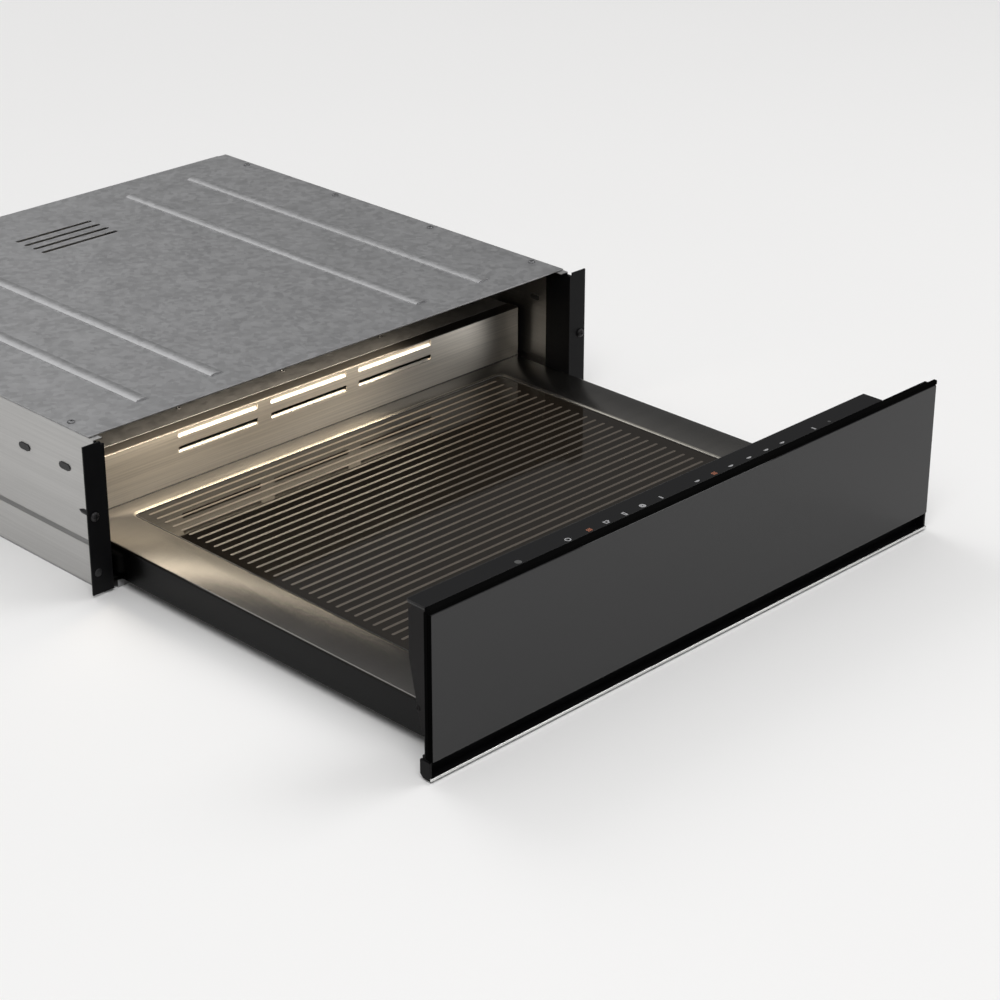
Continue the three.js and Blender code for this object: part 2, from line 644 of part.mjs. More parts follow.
function fanBearing() {
  const x1 = FAN_LEFT - 5.4;
  const bush = turned('x', [[0, -12], [6, -12], [8, -4], [8, 0], [0, 0]], [x1, FAN_Y, FAN_Z]);
  const foot = box(x1 - 10, x1 - 2, FAN_Y - 5, FAN_Y + 5, 12.4, FAN_Z);
  return cut(join(bush, foot), cylinder('x', 2.9, -5, 2, [x1, FAN_Y, FAN_Z], 16));
}

// Tubular element: two long legs joined by a round bend, and a block that ties it to the duct.
function airHeater() {
  const y = 489;
  const z = 67.5;
  const bend = 5.5;
  const tube = 3.1;
  const right = 62;
  const left = -178;
  const legs = [-bend, bend].map((dy) => cylinder('x', tube, left, right, [0, y + dy, z], 8));
  const arc = new THREE.CatmullRomCurve3(row(7, 0, Math.PI / 6).map((angle) => new THREE.Vector3(
    left + 0.2 - bend * Math.sin(angle), y - bend * Math.cos(angle), z,
  )));
  const section = new THREE.Shape();
  section.absarc(0, 0, tube, 0, 2 * Math.PI);
  const turn = toSolid(new THREE.ExtrudeGeometry(section, {
    steps: 8, extrudePath: arc, curveSegments: 4, bevelEnabled: false,
  }));
  const blockOutline = roundedRectangle(y - 12, BOX_BACK - SHEET - GAP, z - 8, z + 8, 3);
  const block = prism('x', blockOutline, right - 3, right + 9, 2);
  return join(...legs, turn, block);
}

function lightProfile() {
  const front = RIM_BACK + SHEET + 0.6;
  const path = points([front, 77], [482.2, 77], [482.2, 86.5], [front, 86.5]);
  return prism('x', sheet(path, 0.9), -156, 156);
}

function lightDiffuser() {
  const outline = points([481, 78.2], [481, 85.6], [475, 85.6], [473.4, 84], [473.4, 79.8], [475, 78.2]);
  return prism('x', outline, -154, 154);
}

// An angle under the rear box that pushes on the plunger.
function latchStriker() {
  const high = TRAY_BOTTOM - GAP;
  const path = points([STRIKER_Y, 3.4], [STRIKER_Y, high], [STRIKER_Y - 11, high]);
  return prism('x', sheet(path, 1.2), LATCH_X - 10, LATCH_X + 10);
}

// ---------------------------------------------------------------- drawer: front

function frontGlass() {
  const edge = 0.6;
  const half = FRONT_HALF_WIDTH - edge;
  const outline = roundedRectangle(-half, half, GLASS_BOTTOM + edge, GLASS_TOP - edge, 0.8);
  const geometry = new THREE.ExtrudeGeometry(outline, {
    depth: GLASS_THICKNESS - 2 * edge, bevelEnabled: true, bevelThickness: edge,
    bevelSize: edge, bevelSegments: 1, curveSegments: 1,
  });
  const stand = new THREE.Matrix4().makeBasis(
    new THREE.Vector3(1, 0, 0), new THREE.Vector3(0, 0, 1), new THREE.Vector3(0, -1, 0),
  );
  stand.setPosition(0, GLASS_THICKNESS - edge, 0);
  return toSolid(geometry.applyMatrix4(stand));
}

function frontCarrier() {
  const half = FRONT_HALF_WIDTH - 0.4;
  const y0 = GLASS_THICKNESS + GAP;
  const slab = prism('y', roundedRectangle(-half, half, GLASS_BOTTOM, GLASS_TOP, 1), y0, CARRIER_BACK, 2);
  const wall = 1.2;
  const inside = roundedRectangle(wall - half, half - wall, GLASS_BOTTOM + wall, GLASS_TOP - wall, 1);
  const hollow = prism('y', inside, y0 - 1, CARRIER_BACK - wall, 2);
  const ribs = row(5, -200, 100).map((x) => box(x - 6, x + 6, y0 + 0.2, CARRIER_BACK - 1, 30, 124));
  return join(cut(slab, hollow), ...ribs);
}

function frontTopTrim() {
  const low = GLASS_TOP + 0.2;
  const outline = points(
    [0.2, low], [TRIM_DEPTH, low], [TRIM_DEPTH, TRIM_TOP],
    [0.5, TRIM_TOP], [0, TRIM_TOP - 0.5], [0, low + 0.2],
  );
  const trim = prism('x', outline, -FRONT_HALF_WIDTH, FRONT_HALF_WIDTH);
  const notch = box(FRONT_HALF_WIDTH - 9, FRONT_HALF_WIDTH + 1, TRIM_DEPTH / 2, TRIM_DEPTH + 1, low - 1, 145);
  return cut(trim, notch);
}

function controlGlass() {
  const y0 = TRIM_DEPTH + 0.25;
  const outline = roundedRectangle(STRIP_LEFT, STRIP_RIGHT, y0, STRIP_BACK, 0.8);
  return prism('z', outline, TRIM_TOP - 2, TRIM_TOP, 2);
}

function controlHousing() {
  const top = TRIM_TOP - 2 - GAP;
  const y0 = CARRIER_BACK + GAP;
  const section = roundedRectangle(y0, STRIP_BACK - 0.2, HOUSING_BOTTOM, top, 1.5);
  const outer = prism('x', section, HOUSING_LEFT, STRIP_RIGHT - 0.5, 3);
  const inner = box(
    HOUSING_LEFT + 2, STRIP_RIGHT - 2.5, y0 + 1.8, STRIP_BACK - 2, HOUSING_BOTTOM + 2, top + 2,
  );
  const shelf = box(STRIP_LEFT + 1, HOUSING_LEFT + 0.5, y0, STRIP_BACK - 0.6, top - 1.4, top);
  const bosses = row(7, -220, 70).map((x) => cylinder('z', 2.4, HOUSING_BOTTOM + 1, 131, [x, 17, 0], 8));
  return join(cut(outer, inner), shelf, ...bosses);
}

function controlBoard() {
  const board = prism('z', roundedRectangle(-256, 220, 10.1, 23.6, 1), 131.3, 132.9, 2);
  const keys = KEYS.map((x) => cylinder('z', 3.4, 132.6, 138, [x, KEY_Y, 0], 8));
  return join(board, ...keys);
}

function frontInnerPanel() {
  const path = points([CARRIER_BACK + GAP, 111], [RIM_FRONT - GAP, 111], [RIM_FRONT - GAP, 12.4]);
  return prism('x', sheet(rounded(path, 2.5), -SHEET), -262, 262);
}

// Sheet profile of the finger recess: floor, rear wall, and an upright that is fixed to the carrier.
function gripProfile() {
  const back = GRIP_DEPTH + 1.4;
  const upright = CARRIER_BACK + 1.8;
  const path = points([1.8, LIP_BOTTOM], [back, LIP_BOTTOM], [back, 19], [upright, 19], [upright, 36]);
  return prism('x', sheet(path, 1.4), -293.9, 293.9);
}

function gripLip() {
  const outline = points(
    [0.5, LIP_BOTTOM], [1.5, LIP_BOTTOM], [1.5, LIP_TOP],
    [0.3, LIP_TOP], [0, LIP_TOP - 0.3], [0, LIP_BOTTOM + 0.5],
  );
  return prism('x', outline, -GRIP_HALF_WIDTH, GRIP_HALF_WIDTH);
}

function gripCap() {
  const back = GRIP_DEPTH + 1.8;
  const top = GLASS_BOTTOM - GAP;
  const outline = points(
    [1.8, LIP_BOTTOM], [back - 3, LIP_BOTTOM], [back, LIP_BOTTOM + 3], [back, top], [1.8, top],
  );
  return prism('x', outline, 294.2, GRIP_HALF_WIDTH);
}

// Gusset that ties the front to the drawer side, just outside the skirt.
function frontBracket() {
  const x0 = RIM_HALF_WIDTH + 0.2;
  const y0 = CARRIER_BACK + 0.4;
  const back = 54;
  const top = 119;
  const outline = points(
    [13, 13], [back - 13, 13], [back - 7, 39], [back, 72], [back, top - 7], [back - 6, top],
    [STRIP_BACK, top], [y0 + 3, 137], [y0, 137], [y0, 38], [13, 38],
  );
  const web = prism('x', outline, x0, x0 + 1.2);
  const foot = box(x0, 284, y0, y0 + 1.2, 38, 134);
  return join(web, foot);
}

// ---------------------------------------------------------------- assembly

const warmingDrawer = new THREE.Group();

piece(warmingDrawer, 'casing_base', casingBase(), GALVANISED);
pair(warmingDrawer, 'casing_side', casingSide(), STAINLESS);
piece(warmingDrawer, 'casing_roof', casingRoof(), GALVANISED);
piece(warmingDrawer, 'casing_back', casingBack(), GALVANISED);
pair(warmingDrawer, 'front_flange', frontFlange(), BLACK_PAINT);
pair(warmingDrawer, 'fixing_screw', fixingScrew(), DARK_STEEL);
pair(warmingDrawer, 'side_guide', sideGuide(), GREY_PLASTIC);
pair(warmingDrawer, 'runner_support', runnerSupport(), GALVANISED);
pair(warmingDrawer, 'runner_outer', runnerOuter(), GALVANISED);
pair(warmingDrawer, 'runner_middle', runnerMiddle(), GALVANISED);
piece(warmingDrawer, 'terminal_box', terminalBox(), BLACK_PLASTIC);
piece(warmingDrawer, 'cable_gland', cableGland(), BLACK_PLASTIC);
piece(warmingDrawer, 'push_latch_body', pushLatchBody(), BLACK_PLASTIC);
piece(warmingDrawer, 'push_latch_plunger', pushLatchPlunger(), GREY_PLASTIC);
piece(warmingDrawer, 'loom_socket_casing', loomSocket(215, 238, 254.7, 98, false), GREY_PLASTIC);

const drawer = new THREE.Group();
drawer.position.y = CLOSED_FRONT_Y - OPEN_TRAVEL;
warmingDrawer.add(drawer);

pair(drawer, 'runner_inner', runnerInner(), GALVANISED);
piece(drawer, 'drawer_rim', drawerRim(), STAINLESS);
piece(drawer, 'glass_floor', glassFloor(), FLOOR_GLASS);
piece(drawer, 'heater_mat', heaterMat(), SILICONE);
piece(drawer, 'insulation_board', insulationBoard(), MINERAL_BOARD);
piece(drawer, 'drawer_tray', drawerTray(), GALVANISED);
piece(drawer, 'floor_sensor', floorSensor(), ALUMINIUM);
piece(drawer, 'safety_thermostat', safetyThermostat(), ALUMINIUM);
piece(drawer, 'rear_wall', rearWall(), STAINLESS);
piece(drawer, 'rear_box', rearBox(), GALVANISED);
piece(drawer, 'rear_box_lid', rearBoxLid(), GALVANISED);
piece(drawer, 'fan_housing', fanHousing(), GALVANISED);
piece(drawer, 'fan_rotor', fanRotor(), ALUMINIUM);
piece(drawer, 'fan_motor', fanMotor(), COPPER);
piece(drawer, 'fan_bearing', fanBearing(), BLACK_PLASTIC);
piece(drawer, 'air_heater', airHeater(), HEATER_STEEL);
piece(drawer, 'light_profile', lightProfile(), ALUMINIUM);
piece(drawer, 'light_diffuser', lightDiffuser(), LIGHT);
piece(drawer, 'latch_striker', latchStriker(), GALVANISED);
piece(drawer, 'loom_socket_drawer', loomSocket(150, BOX_BACK + GAP, 524.1, 62, true), GREY_PLASTIC);
piece(drawer, 'front_glass', frontGlass(), FRONT_GLASS);
piece(drawer, 'front_carrier', frontCarrier(), BLACK_PAINT);
piece(drawer, 'front_top_trim', frontTopTrim(), BLACK_PAINT);
piece(drawer, 'control_glass', controlGlass(), BLACK_GLASS);
piece(drawer, 'control_housing', controlHousing(), BLACK_PLASTIC);
piece(drawer, 'control_board', controlBoard(), CIRCUIT_BOARD);
piece(drawer, 'front_inner_panel', frontInnerPanel(), DARK_STEEL);
piece(drawer, 'grip_profile', gripProfile(), BLACK_PAINT);
piece(drawer, 'grip_lip', gripLip(), POLISHED);
pair(drawer, 'grip_cap', gripCap(), BLACK_PAINT);
pair(drawer, 'front_bracket', frontBracket(), DARK_STEEL);

export default warmingDrawer;
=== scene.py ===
# Looks, floor, light and camera for the built in warming drawer.
# Metres, +X right, +Y into the cabinet. The drawer stands open, as in the photograph.

import json
import math

import bmesh
import bpy
from mathutils import Matrix, Vector

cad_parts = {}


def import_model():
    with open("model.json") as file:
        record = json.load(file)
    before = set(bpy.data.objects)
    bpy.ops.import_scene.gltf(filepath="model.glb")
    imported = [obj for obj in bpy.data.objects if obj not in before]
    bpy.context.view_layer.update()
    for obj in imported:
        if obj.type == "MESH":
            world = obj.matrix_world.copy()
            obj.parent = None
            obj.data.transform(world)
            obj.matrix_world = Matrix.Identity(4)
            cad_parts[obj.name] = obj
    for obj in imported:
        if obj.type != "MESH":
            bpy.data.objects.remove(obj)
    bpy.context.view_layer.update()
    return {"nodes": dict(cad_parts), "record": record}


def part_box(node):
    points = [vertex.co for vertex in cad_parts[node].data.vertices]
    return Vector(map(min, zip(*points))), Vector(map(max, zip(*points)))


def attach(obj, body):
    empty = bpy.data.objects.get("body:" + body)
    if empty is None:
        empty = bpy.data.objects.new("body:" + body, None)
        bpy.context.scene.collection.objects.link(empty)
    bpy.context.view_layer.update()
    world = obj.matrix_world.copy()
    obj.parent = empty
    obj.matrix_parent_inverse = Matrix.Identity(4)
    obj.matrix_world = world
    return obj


MM = 0.001
SIDES = (-1, 1)  # left and right

# ---------------------------------------------------------------- camera and room

CAMERA_PLACE = (-1.3832, -1.8183, 0.9771)
CAMERA_YAW = 45.03  # degrees from +Y towards +X
CAMERA_PITCH = 25.32  # degrees below the horizon
CAMERA_ROLL = 0.04  # degrees
CAMERA_LENS = 92.53  # millimetres, on a sensor of this width
SENSOR = 36.0

WALL_LIGHT = 0.16  # the studio is darker at the walls than overhead
ZENITH_LIGHT = 0.72
HORIZON_GLOW = 0.42  # and paler again where the walls meet the floor
WALL_FADE = (0.3, 0.95)  # heights on a unit sphere, from wall light to zenith light
GLOW_FADE = (0.0, 0.25)
FLOOR_COLOR = (0.89, 0.885, 0.88)
FLOOR_SIZE = 60.0

LAMP_SIZE = 2.6
LAMPS = (  # name, place, target, watts
    ("key", (-1.9, -2.3, 3.6), (0, -0.3, 0), 72),
    ("fill", (2.6, -1.7, 3.2), (0, -0.2, 0), 38),
    ("back", (0.3, 3.0, 3.4), (0, 0, 0), 34),
)

# The drawer's own light: a warm strip in front of the slotted wall and above it.
STRIP_POWER = 0.57
STRIP_COLOR = (1.0, 0.87, 0.69)
STRIP_X = -45 * MM
STRIP_AHEAD = 16 * MM
STRIP_ABOVE = 34 * MM
STRIP_LENGTH = 360 * MM
STRIP_DEPTH = 26 * MM
STRIP_AIM = 2 * MM  # behind the wall's face, at its foot

# ---------------------------------------------------------------- looks

SMOOTH_ANGLE = 32  # degrees; sharper folds keep their edge
WELD_DISTANCE = 0.01 * MM
EDGE_RADIUS = 0.4 * MM  # highlight on cut edges
RIM_EDGE_RADIUS = 0.1 * MM
GLASS_EDGE_RADIUS = 0.6 * MM
EDGE_SAMPLES = 4
SMOOTHEST = 0.02  # no surface is glossier
GRIND_STRETCH = 0.012  # width of a grinding streak as a share of its length
EDGE_HIGHLIGHT_REACH = (5 * MM, 10 * MM)  # from the opening's edge, where the painted highlight on the rim's slope ends
ICON_TONES = {
    "white": (0.27, 0.27, 0.275),
    "orange": (0.22, 0.075, 0.04),
    "dim": (0.05, 0.05, 0.05),
}

# ---------------------------------------------------------------- printed and small pieces

STRIPE_PITCH = 10.76 * MM
STRIPE_WIDTH = 2.8 * MM
STRIPE_HEIGHT = 0.05 * MM
STRIPE_COUNT = 37
STRIPE_LEFT = -209 * MM
STRIPE_RIGHT = 205 * MM
STRIPE_BACK_INSET = 8.8 * MM  # from the opening's rear edge to the first stripe

# From the rim's box to its opening.
RIM_BORDER = {"side": 46.4 * MM, "back": 22.3 * MM, "front": 5.7 * MM}
OPENING_RADIUS = 6 * MM
SEAL_WIDTH = 1.5 * MM
SEAL_HEIGHT = 0.5 * MM
SEAL_SECTION = ((0, 0), (0.2, 1), (0.8, 1), (1, 0))  # shares of its width and height

FOOT_SEAL_INSET = 1 * MM  # from the ends of the slotted wall
FOOT_SEAL_AHEAD = 0.7 * MM  # from the wall's face to the middle of the joint
FOOT_SEAL_WIDTH = 1.1 * MM
FOOT_SEAL_HEIGHT = 0.35 * MM

# Millimetres: the slots along the wall, their middles above the floor, and a lip's section as
# (behind the wall's face, above the slot's middle).
SLOT_SPANS = ((-150, -61), (-45.5, 44), (59, 150))
SLOT_HEIGHTS = {"lower": 69, "upper": 83.5}
LIP_SECTION = ((0.2, -2.9), (0.2, -2.3), (2.4, -0.5), (2.8, -0.8), (1.0, -2.9))
LIP_END_GAP = 0.4

ICON_INSET = 3.75 * MM  # from the strip's front edge to the middle of the icons
ICON_HEIGHT = 0.04 * MM
ICON_LINE = 0.9 * MM
MITRE_LIMIT = 0.5  # a sharper corner of a line gets no longer point than this allows

# Millimetres: (radius, height above the surface) of turned heads, from the inside outwards.
SCREW_PROFILE = ((1.1, 0.5), (1.25, 1.5), (2.6, 1.25), (3.3, 0.7), (3.4, 0))
RIVET_PROFILE = ((0.9, 0.1), (1.1, 0.45), (1.9, 0.4), (2.4, 0))
CAP_PROFILE = ((1.1, 0.7), (2.2, 0.6), (3.2, 0.35), (3.6, 0))

BEAD_HEIGHT = 2 * MM  # the pressed beads stand above the roof's sheet
ROOF_SCREW_INSET = 8 * MM  # from the roof's sides
ROOF_SCREWS_Y = (-210, -70, 70, 210)  # millimetres, as all the rows of heads below
BACK_SCREW_INSET = 16 * MM  # from the sides of the back
BACK_SCREWS_Z = (24, 74, 118)
BACK_SCREW_DROP = 9 * MM  # from the top of the back
BACK_SCREWS_X = (-170, -60, 60, 220)
BRACKET_SHEET = 1.2 * MM
RIVETS_Y = (9, 23, 37)  # behind the bracket's front
RIVET_Z = 33 * MM
FLANGE_HOLE_X = 286.5 * MM
FLANGE_HOLE_Z = 22 * MM
LID_SCREW_INSET = 12 * MM
LID_SCREWS_X = (-240, -120, 0, 120, 240)

PLUG_COUNT = 8  # slots of a casing side
PLUG_FIRST_Y = -208 * MM
PLUG_PITCH = 56 * MM
PLUG_Z = 99 * MM
PLUG_LENGTH = 12 * MM
PLUG_WIDTH = 4.9 * MM
PLUG_LEVELS = ((1.0, -1.2 * MM, 0.2 * MM), (1.25, 0, 0.8 * MM))  # shank and head: size, from, to
SIDE_JOGGLE = 2.4 * MM  # the slotted sheet lies this far inside the casing's box

INLET_MIDDLES = (-150 * MM, 0)
INLET_HALF_WIDTH = 57 * MM
INLET_LOW = 26 * MM
INLET_HIGH = 78 * MM
SCREEN_RADIUS = 5 * MM
SCREEN_LEVELS = ((0, 0.2), (0, 0.7), (4, 2.2))  # millimetres: inset, depth in front of the back

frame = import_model()
nodes = frame["nodes"]


# ---------------------------------------------------------------- node materials

class Surface:
    """A material with a principled shader, and helpers that add nodes to it."""

    def __init__(self, name, color, roughness, metallic=0.0, specular=0.5, drawn_out=0.0):
        self.material = bpy.data.materials.new(name)
        self.material.use_nodes = True
        tree = self.material.node_tree
        self.nodes = tree.nodes
        self.links = tree.links
        self.shader = self.nodes["Principled BSDF"]
        self.color = color
        self.roughness = roughness
        self.set(self.shader, {
            "Base Color": (*color, 1), "Roughness": roughness, "Metallic": metallic,
            "Specular IOR Level": specular, "Anisotropic": drawn_out,
        })
        self.place = self.nodes.new("ShaderNodeTexCoord").outputs["Object"]
        self.coat = None
        self.normal = None

    def set(self, node, inputs):
        for key, value in inputs.items():
            if isinstance(value, bpy.types.NodeSocket):
                self.links.new(value, node.inputs[key])
            else:
                node.inputs[key].default_value = value

    def add(self, kind, inputs, **settings):
        node = self.nodes.new("ShaderNode" + kind)
        for key, value in settings.items():
            setattr(node, key, value)
        self.set(node, inputs)
        return node

    def calc(self, operation, *values):
        """One step of arithmetic on numbers or sockets."""
        return self.add("Math", dict(enumerate(values)), operation=operation).outputs[0]

    def axis(self, name):
        """One of the object's own coordinates, in metres."""
        return self.add("SeparateXYZ", {"Vector": self.place}).outputs[name]

    def facing(self, axis):
        """How far the surface faces along an axis, from -1 to 1."""
        normal = self.add("NewGeometry", {}).outputs["True Normal"]
        return self.add("SeparateXYZ", {"Vector": normal}).outputs[axis]

    def noise(self, scale, stretch=(1, 1, 1), detail=3.0):
        """Noise over the object's coordinates, which are stretched by a scale on each axis."""
        place = self.add("Mapping", {"Vector": self.place, "Scale": stretch}).outputs["Vector"]
        inputs = {"Vector": place, "Scale": scale, "Detail": detail}
        return self.add("TexNoise", inputs).outputs["Fac"]

    def cells(self, scale):
        """One random grey for each cell of a Voronoi pattern."""
        color = self.add("TexVoronoi", {"Vector": self.place, "Scale": scale}).outputs["Color"]
        return self.add("SeparateColor", {"Color": color}).outputs[0]

    def ribs(self, scale):
        """Even waves, one after another along x."""
        return self.add("TexWave", {"Vector": self.place, "Scale": scale}).outputs["Fac"]

    def span(self, value, low, high, start=0.3, end=0.7):
        """Value from start to end, mapped to low to high. Noise mostly keeps to 0.3 to 0.7."""
        inputs = {
            "Value": value, "From Min": start, "From Max": end, "To Min": low, "To Max": high,
        }
        return self.add("MapRange", inputs).outputs["Result"]

    def mix(self, fac, a, b):
        """Blends two colours; each is a triple or a socket."""
        node = self.add("Mix", {0: fac}, data_type="RGBA")
        for index, value in ((6, a), (7, b)):
            socket = isinstance(value, bpy.types.NodeSocket)
            self.set(node, {index: value if socket else (*value, 1)})
        return node.outputs[2]

    def shade(self, fac, low, high):
        """The base colour times a factor that runs from low to high."""
        dark = tuple(c * low for c in self.color)
        light = tuple(min(1.0, c * high) for c in self.color)
        return self.mix(fac, dark, light)

    def paint(self, color):
        """Sets the base colour to a socket; coat keeps it, for a later layer to build on."""
        self.coat = color
        self.set(self.shader, {"Base Color": color})

    def mottle(self, value, low, high, start=0.3, end=0.7):
        """Paints the base colour times low to high, as value runs from start to end."""
        self.paint(self.shade(self.span(value, 0, 1, start, end), low, high))

    def gloss(self, value, spread, start=0.3, end=0.7):
        """Roughness that wanders about its mean, as value runs from start to end."""
        low = max(SMOOTHEST, self.roughness - spread)
        roughness = self.span(value, low, self.roughness + spread, start, end)
        self.set(self.shader, {"Roughness": roughness})

    def glow(self, color, strength):
        self.set(self.shader, {"Emission Color": (*color, 1), "Emission Strength": strength})

    def soft_edges(self, radius=EDGE_RADIUS):
        """Rounds the edges in the shading only, so that they catch the light."""
        self.normal = self.add("Bevel", {"Radius": radius}, samples=EDGE_SAMPLES).outputs["Normal"]
        self.set(self.shader, {"Normal": self.normal})

    def bump(self, value, distance, strength=1.0):
        inputs = {"Height": value, "Distance": distance, "Strength": strength}
        if self.normal is not None:
            inputs["Normal"] = self.normal
        self.normal = self.add("Bump", inputs).outputs["Normal"]
        self.set(self.shader, {"Normal": self.normal})


def brushed(name, color, roughness, grain, spread=0.04, contrast=0.12, drawn_out=0.7,
            edge=EDGE_RADIUS):
    """Metal ground along one axis: fine streaks, wider bands, faint handling marks, and a
    highlight that is drawn out across the grind."""
    s = Surface(name, color, roughness, 1.0, drawn_out=drawn_out)
    s.soft_edges(edge)
    across = s.add("CombineXYZ", {key: float(key != grain) for key in "XYZ"})
    s.set(s.shader, {"Tangent": across.outputs["Vector"]})
    stretch = [GRIND_STRETCH if key == grain else 1 for key in "XYZ"]
    streaks = s.noise(650, stretch, 2.0)
    bands = s.noise(70, stretch)
    marks = s.noise(9, detail=2.0)
    s.mottle(s.calc("ADD", streaks, bands), 1 - contrast, 1 + contrast, 0.75, 1.25)
    s.gloss(s.calc("ADD", bands, marks), spread, 0.5, 1.5)
    s.bump(streaks, 0.004 * MM, 0.1)
    return s


def galvanised(name, color, roughness):
    """Zinc coating: crystals of slightly different grey, each with its own sheen."""
    s = Surface(name, color, roughness, 1.0)
    s.soft_edges()
    tone = s.calc("ADD", s.cells(190), s.noise(35, detail=4.0))
    s.mottle(tone, 0.86, 1.12, 0.2, 1.7)
    s.gloss(tone, 0.04, 0.2, 1.7)
    s.bump(s.noise(240), 0.03 * MM, 0.2)
    return s


def painted(name, color, roughness, metallic=0.0, grain=520, specular=0.5):
    """Baked coating with an orange peel skin and a little dust in its gloss."""
    s = Surface(name, color, roughness, metallic, specular)
    s.soft_edges()
    dust = s.noise(22, detail=5.0)
    s.mottle(dust, 0.88, 1.14)
    s.gloss(dust, 0.06)
    s.bump(s.noise(grain, detail=2.0), 0.03 * MM, 0.4)
    return s


def glass_plate(name, color, roughness, specular=0.5):
    """Dark glass printed on its back: even colour, a very flat face, faint wiping marks."""
    s = Surface(name, color, roughness, specular=specular)
    s.soft_edges(GLASS_EDGE_RADIUS)
    s.mottle(s.noise(900, detail=1.0), 0.9, 1.1)
    s.gloss(s.noise(7, (1, 2.5, 1), 4.0), 0.025)
    return s


def moulded(name, color, roughness, grain=900):
    """Moulded plastic or rubber with a fine eroded grain."""
    s = Surface(name, color, roughness)
    s.soft_edges()
    pores = s.noise(grain, detail=2.0)
    s.mottle(s.noise(30), 0.92, 1.08)
    s.gloss(pores, 0.05)
    s.bump(pores, 0.04 * MM, 0.35)
    return s


# ---------------------------------------------------------------- finishes of the CAD nodes

def rim_steel():
    """The folded drawer frame, ground along x. Its top is a darker copy of the wall's steel,
    painted shade; painted shade makes its skirt and outer fold darker still, and a painted
    highlight lights the sloping cut edge of its opening."""
    # A darker copy of the wall's steel: painted shade.
    s = brushed("rim_steel", (0.125, 0.12, 0.113), 0.26, "X", 0.012, 0.07, 0.4, RIM_EDGE_RADIUS)
    # Painted shade: faces that do not face up take the near black skirt colour, and sloping faces
    # away from the opening take the dark fold colour.
    ground, skirt = s.coat, (0.014, 0.014, 0.014)
    painted_fold_shade, painted_edge_highlight = (0.05, 0.048, 0.045), (0.36, 0.34, 0.30)
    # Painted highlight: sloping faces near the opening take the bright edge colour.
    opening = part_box("drawer_rim")[1].x - RIM_BORDER["side"]
    start, end = (opening + reach for reach in EDGE_HIGHLIGHT_REACH)
    near_opening = s.span(s.calc("ABSOLUTE", s.axis("X")), 1, 0, start, end)
    up = s.facing("Z")
    slope = s.mix(near_opening, painted_fold_shade, painted_edge_highlight)
    folds = s.mix(s.span(up, 0, 1, 0.3, 0.35), skirt, slope)
    s.paint(s.mix(s.span(up, 0, 1, 0.9, 0.95), folds, ground))
    return s


def wall_steel():
    """The slotted wall has the same grind; its warmer, brighter colour is painted warm light,
    added to the drawer's own lamp, and painted shade darkens its top fold and other faces that
    face up.
    """
    # Brighter and warmer than the rim's copy of this steel: painted warm light.
    s = brushed("wall_steel", (0.84, 0.79, 0.71), 0.38, "X", 0.04, 0.14)
    # Painted shade: faces that face up, such as the top fold, turn dark.
    s.paint(s.mix(s.span(s.facing("Z"), 0, 1, 0.1, 0.4), s.coat, (0.12, 0.11, 0.10)))
    return s


def front_pane():
    """The front's glass has an even grey face; painted shade makes its ends, which face along x,
    black and without reflection.
    """
    s = glass_plate("front_glass", (0.014, 0.014, 0.0145), 0.05)
    # Painted shade: the ends turn black and lose all reflection.
    ends_painted_shade = s.span(s.calc("ABSOLUTE", s.facing("X")), 0, 1, 0.5, 0.6)
    s.paint(s.mix(ends_painted_shade, s.coat, (0.002, 0.002, 0.002)))
    s.set(s.shader, {"Specular IOR Level": s.span(ends_painted_shade, 0.4, 0.0, 0, 1)})
    return s


def lit_diffuser():
    """The ribbed cover of the strip light."""
    s = Surface("lit_diffuser", (0.9, 0.85, 0.75), 0.4)
    s.glow((1.0, 0.80, 0.54), 0.3)
    ribs = s.ribs(160)
    s.paint(s.shade(ribs, 0.92, 1.0))
    s.bump(ribs, 0.1 * MM)
    return s


def slot_lip_painted_glow():
    """Painted light: the bent lower edges of the upper slots glow warm, seen through the slots."""
    s = Surface("slot_lip_painted_glow", (0.9, 0.86, 0.78), 0.35)
    # Painted light: the lip glows, though it is no lamp.
    s.glow((1.0, 0.90, 0.76), 0.6)
    frost = s.noise(1200, detail=2.0)
    s.mottle(frost, 0.9, 1.0)
    s.bump(frost, 0.02 * MM)
    return s


def ceramic_print():
    """Enamel of the shelf's stripes, speckled and a little dull."""
    s = Surface("ceramic_print", (0.072, 0.059, 0.046), 0.45)
    specks = s.noise(700, detail=2.0)
    s.mottle(specks, 0.82, 1.15)
    s.gloss(specks, 0.08)
    return s


def icon_print(tone):
    """Print of the icons, faintly lit from behind."""
    s = Surface("icon_" + tone, ICON_TONES[tone], 0.4)
    s.glow(s.color, 0.4)
    s.mottle(s.noise(1500), 0.9, 1.05)
    return s


def mineral_board():
    """Pressed insulation with its fibres along x."""
    s = Surface("mineral_board", (0.64, 0.57, 0.46), 0.95)
    fibres = s.noise(160, (1, 4, 1), 4.0)
    s.mottle(fibres, 0.8, 1.12)
    s.bump(fibres, 0.4 * MM, 0.6)
    return s


def circuit_board():
    """Green lacquer over a grid of tracks."""
    s = Surface("circuit_board", (0.012, 0.06, 0.032), 0.35)
    s.soft_edges()
    tracks = s.add("TexBrick", {
        "Vector": s.place, "Scale": 260.0, "Mortar Size": 0.06,
        "Color1": (*s.color, 1), "Color2": (0.01, 0.05, 0.028, 1), "Mortar": (0.03, 0.13, 0.06, 1),
    })
    s.paint(tracks.outputs["Color"])
    s.bump(tracks.outputs["Fac"], 0.05 * MM, 0.4)
    return s


